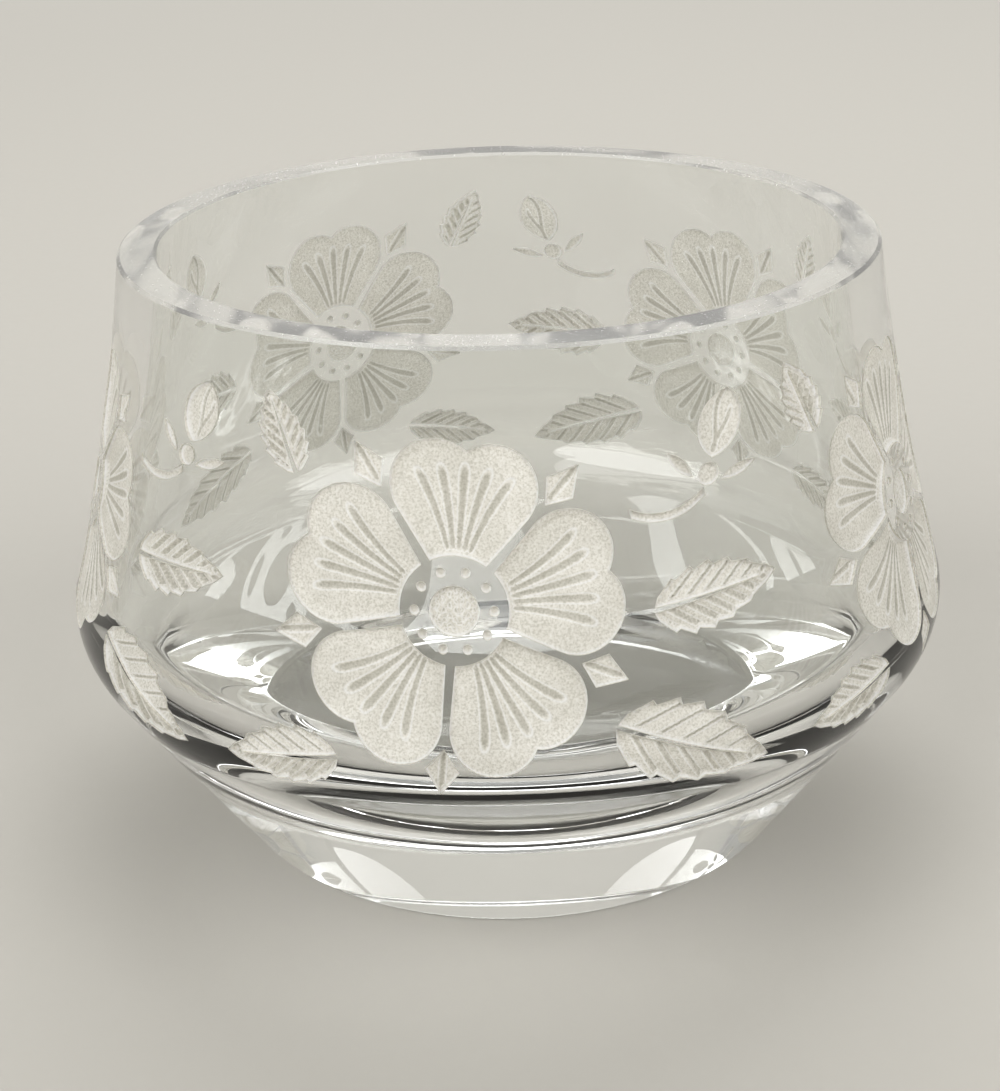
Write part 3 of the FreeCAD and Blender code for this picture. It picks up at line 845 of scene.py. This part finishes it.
# marks is the millimetres between marks, haze the share of the face that is dulled white
footLook = {"marks": 1.1, "smoothest": 0.04, "roughest": 0.24, "haze": 0.03}
rimLook = {"marks": 0.6, "smoothest": 0.18, "roughest": 0.28, "haze": 0.17}

finishes = [
    clearGlass(),
    frostedGlass(),
    bondedGlass(),
    groundGlass("ground and worn glass foot", footLook),
    groundGlass("satin-ground glass rim", rimLook),
]
print("materials made")


def ringTree():
    # turns one garland's share into the whole round, and gives each face its finish
    tree = bpy.data.node_groups.new("garlands round the bowl", "GeometryNodeTree")
    tree.is_modifier = True
    socket = tree.interface.new_socket
    socket("Geometry", in_out="INPUT", socket_type="NodeSocketGeometry")
    count = socket("Garlands", in_out="INPUT", socket_type="NodeSocketInt")
    weld = socket("Weld distance", in_out="INPUT", socket_type="NodeSocketFloat")
    count.default_value, count.min_value = bowlSizes["garlands"], 1
    weld.default_value = bowlMesh["weld"] * mm
    socket("Geometry", in_out="OUTPUT", socket_type="NodeSocketGeometry")
    given = addNode(tree, "NodeGroupInput")
    index = addNode(tree, "GeometryNodeInputIndex")
    step = addNode(tree, "ShaderNodeMath", {"operation": "DIVIDE"}, {0: 2 * pi, 1: given.outputs["Garlands"]})
    angle = addNode(tree, "ShaderNodeMath", {"operation": "MULTIPLY"}, {0: index.outputs[0], 1: step.outputs[0]})
    euler = addNode(tree, "ShaderNodeCombineXYZ", {}, {"Z": angle.outputs[0]})
    spin = addNode(tree, "FunctionNodeEulerToRotation", {}, {0: euler.outputs[0]})
    points = addNode(tree, "GeometryNodePoints", {}, {"Count": given.outputs["Garlands"]})
    placed = addNode(tree, "GeometryNodeInstanceOnPoints", {}, {
        "Points": points.outputs[0], "Instance": given.outputs["Geometry"], "Rotation": spin.outputs[0],
    })
    real = addNode(tree, "GeometryNodeRealizeInstances", {}, {"Geometry": placed.outputs[0]})
    last = addNode(tree, "GeometryNodeMergeByDistance", {}, {
        "Geometry": real.outputs[0], "Distance": given.outputs["Weld distance"],
    })
    finish = addNode(tree, "GeometryNodeInputNamedAttribute", {"data_type": "INT"}, {"Name": "finish"})
    for number, material in enumerate(finishes):
        match = addNode(tree, "FunctionNodeCompare", {"data_type": "INT", "operation": "EQUAL"})
        tree.links.new(finish.outputs["Attribute"], match.inputs[2])
        match.inputs[3].default_value = number
        last = addNode(tree, "GeometryNodeSetMaterial", {}, {
            "Geometry": last.outputs[0], "Selection": match.outputs[0], "Material": material,
        })
    addNode(tree, "NodeGroupOutput", {}, {"Geometry": last.outputs[0]})
    return tree, count.identifier, weld.identifier


ring, countSocket, weldSocket = ringTree()


def ringed(share, name):
    modifier = share.modifiers.new("ring", "NODES")
    modifier.node_group = ring
    modifier[countSocket] = bowlSizes["garlands"]
    modifier[weldSocket] = bowlMesh["weld"] * mm
    graph = bpy.context.evaluated_depsgraph_get()
    mesh = bpy.data.meshes.new_from_object(share.evaluated_get(graph), preserve_all_data_layers=True, depsgraph=graph)
    share.modifiers.remove(modifier)
    bpy.data.objects.remove(share)
    mesh.name = name
    piece = bpy.data.objects.new(name, mesh)
    bpy.context.scene.collection.objects.link(piece)
    mesh.polygons.foreach_set("use_smooth", [True] * len(mesh.polygons))
    return piece


def polish(mesh):
    # the turned faces get the normals of the true curve, with the slight waviness of hand polishing
    slopes = [0.0] * len(mesh.loops)
    mesh.attributes["slope"].data.foreach_get("value", slopes)
    stray = radians(bowlSizes["waviness"])
    upWaves, roundWaves = bowlSizes["waves"]
    elsewhere = Vector((3, 5, 7))
    normals = [None] * len(mesh.loops)
    for polygon in mesh.polygons:
        flatNormal = polygon.normal.copy()
        for corner in polygon.loop_indices:
            slope = slopes[corner]
            if slope > noSlope - 1:
                normals[corner] = flatNormal
                continue
            place = mesh.vertices[mesh.loops[corner].vertex_index].co
            away = hypot(place.x, place.y)
            if away < 1e-7:
                normals[corner] = Vector((0, 0, sin(slope)))
                continue
            slope += stray * noise.noise(place * upWaves)
            side = stray * noise.noise(place * roundWaves + elsewhere)
            outX, outY = place.x / away * cos(slope), place.y / away * cos(slope)
            normals[corner] = Vector((outX - outY * side, outY + outX * side, sin(slope)))
    mesh.normals_split_custom_set(normals)


wholeShare = Shell()
below, above = bowlRuns()
addRings(wholeShare, below)
carvedBand(wholeShare)
addRings(wholeShare, above)
bowl = ringed(wholeShare.build("bowlShare"), "glassBowl")
polish(bowl.data)
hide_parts("glass_bowl")
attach(bowl, "root")
print("bowl made:", len(bowl.data.polygons), "faces")

# kind, the node it stands for, and the millimetres between points of its carved skin
carvings = (("roses", "frosted_rose", 0.46), ("leaves", "frosted_leaves", 0.5), ("buds", "frosted_bud", 0.42))

for kind, node, pace in carvings:
    share = frostedShell(garland[kind], pace).build(kind + "Share")
    carving = ringed(share, "frosted" + kind.title())
    carving.data.set_sharp_from_angle(angle=radians(frostMesh["sharpFrom"]))
    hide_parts(*["%s_%d" % (node, number + 1) for number in range(bowlSizes["garlands"])])
    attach(carving, "root")
    print("frosted", kind, "made:", len(carving.data.polygons), "faces")

floorLook = {
    "colour": "a9a69f",
    "fibre": 3.8,  # millimetres
    "backdrop": "d3d0c8",
    "backdropStart": 0.55,  # metres from the bowl where the plain backdrop starts to take over
    "backdropFull": 1.7,
    "radius": 2.6,
    "height": 1.8,
    "bend": 0.7,
    "below": 0.15,  # millimetres under the bowl's base, so that the two faces don't lie in each other
    "sides": 96,
}


def floorMesh():
    # a floor that curves up into a backdrop all round
    radius, bend, low = floorLook["radius"], floorLook["bend"], -floorLook["below"] * mm
    curve = steps(0, pi / 2, radians(6))[1:]
    section = [(0.01 * mm, low), (radius - bend, low)]
    section += [(radius - bend + bend * sin(a), low + bend - bend * cos(a)) for a in curve]
    section += [(radius, floorLook["height"])]
    sides = floorLook["sides"]
    points, faces = [], []
    for away, up in section:
        points += [(away * cos(2 * pi * k / sides), away * sin(2 * pi * k / sides), up) for k in range(sides)]
    for row in range(len(section) - 1):
        for k in range(sides):
            after = (k + 1) % sides
            faces.append((row * sides + k, row * sides + after, (row + 1) * sides + after, (row + 1) * sides + k))
    mesh = bpy.data.meshes.new("floor")
    mesh.from_pydata(points, [], faces)
    mesh.validate()
    mesh.polygons.foreach_set("use_smooth", [True] * len(mesh.polygons))
    return mesh


def floorPaper():
    # uncoated paper, rolled: dull, with a faint change of sheen from its fibres
    material, tree = newMaterial("matt paper floor")
    place = addNode(tree, "ShaderNodeTexCoord")
    fibre = addNode(tree, "ShaderNodeTexNoise", {}, {
        "Vector": place.outputs["Object"], "Scale": 1 / (floorLook["fibre"] * mm), "Detail": 3.0,
    })
    rough = addNode(tree, "ShaderNodeMapRange", {}, {"Value": fibre.outputs["Fac"], "To Min": 0.75, "To Max": 0.9})
    shader = addNode(tree, "ShaderNodeBsdfPrincipled", {}, {
        "Base Color": fromHex(floorLook["colour"]), "Roughness": rough.outputs["Result"],
    })
    # far from the bowl the floor is an even pale ground for what is seen, and gives no light
    away = addNode(tree, "ShaderNodeVectorMath", {"operation": "LENGTH"}, {0: place.outputs["Object"]})
    far = addNode(tree, "ShaderNodeMapRange", {"interpolation_type": "SMOOTHSTEP"}, {
        "Value": away.outputs["Value"],
        "From Min": floorLook["backdropStart"], "From Max": floorLook["backdropFull"],
    })
    path = addNode(tree, "ShaderNodeLightPath")
    bent = addNode(tree, "ShaderNodeMath", {"operation": "MAXIMUM"}, {
        0: path.outputs["Is Glossy Ray"], 1: path.outputs["Is Transmission Ray"],
    })
    seen = addNode(tree, "ShaderNodeMath", {"operation": "MAXIMUM"}, {
        0: path.outputs["Is Camera Ray"], 1: bent.outputs["Value"],
    })
    share = addNode(tree, "ShaderNodeMath", {"operation": "MULTIPLY"}, {
        0: seen.outputs["Value"], 1: far.outputs["Result"],
    })
    backdrop = addNode(tree, "ShaderNodeEmission", {}, {"Color": fromHex(floorLook["backdrop"])})
    both = addNode(tree, "ShaderNodeMixShader", {}, {
        0: share.outputs["Value"], 1: shader.outputs["BSDF"], 2: backdrop.outputs["Emission"],
    })
    addNode(tree, "ShaderNodeOutputMaterial", {}, {"Surface": both.outputs["Shader"]})
    return material


floor = bpy.data.objects.new("floor", floorMesh())
floor.data.materials.append(floorPaper())
bpy.context.scene.collection.objects.link(floor)

lightLook = {
    "world": "e2e2e0",
    "worldStrength": 0.6,
    "aim": (0, 0, 0.06),
    # name, place, width, height, watts
    "lamps": (
        ("left", (-1.3, -1.1, 1.25), 2.0, 1.8, 34.0),
        ("right", (1.3, -1.1, 1.25), 2.0, 1.8, 29.0),
        ("back", (0.15, 1.1, 1.5), 1.8, 1.2, 24.0),
    ),
}


def makeWorld():
    world = bpy.data.worlds.new("studio")
    world.use_nodes = True
    world.node_tree.nodes.clear()
    sky = addNode(world.node_tree, "ShaderNodeBackground", {}, {
        "Color": fromHex(lightLook["world"]), "Strength": lightLook["worldStrength"],
    })
    addNode(world.node_tree, "ShaderNodeOutputWorld", {}, {"Surface": sky.outputs["Background"]})
    bpy.context.scene.world = world


def makeLamps():
    for name, place, width, height, watts in lightLook["lamps"]:
        lamp = bpy.data.lights.new(name, "AREA")
        lamp.shape = "ELLIPSE"
        lamp.size, lamp.size_y = width, height
        lamp.energy = watts
        holder = bpy.data.objects.new(name, lamp)
        holder.location = place
        holder.rotation_mode = "QUATERNION"
        holder.rotation_quaternion = (Vector(lightLook["aim"]) - Vector(place)).to_track_quat("-Z", "Y")
        bpy.context.scene.collection.objects.link(holder)


makeWorld()
makeLamps()

cameraSizes = {
    "lens": 67.02,
    "sensor": 36.0,
    "place": (0.0, -0.3877, 0.2233),
    "down": 23.7,
    "aside": -0.2,
    "roll": -1.55,
}


def makeCamera():
    camera = bpy.data.cameras.new("camera")
    camera.lens, camera.sensor_width = cameraSizes["lens"], cameraSizes["sensor"]
    camera.clip_start = 0.01
    holder = bpy.data.objects.new("camera", camera)
    down, aside, roll = (radians(cameraSizes[key]) for key in ("down", "aside", "roll"))
    forward = Vector((sin(aside) * cos(down), cos(aside) * cos(down), -sin(down)))
    level = Vector((cos(aside), -sin(aside), 0))
    up = level.cross(forward)
    right = level * cos(roll) + up * sin(roll)
    up = up * cos(roll) - level * sin(roll)
    pose = Matrix((right, up, -forward)).transposed().to_4x4()
    pose.translation = cameraSizes["place"]
    holder.matrix_world = pose
    bpy.context.scene.collection.objects.link(holder)
    bpy.context.scene.camera = holder


makeCamera()
bpy.context.scene.view_settings.view_transform = "Standard"
bpy.context.scene.cycles.max_bounces = 32  # light runs far inside thick glass
bpy.context.scene.cycles.transmission_bounces = 32
bpy.context.scene.cycles.transparent_max_bounces = 32
print("stage, light and camera made")
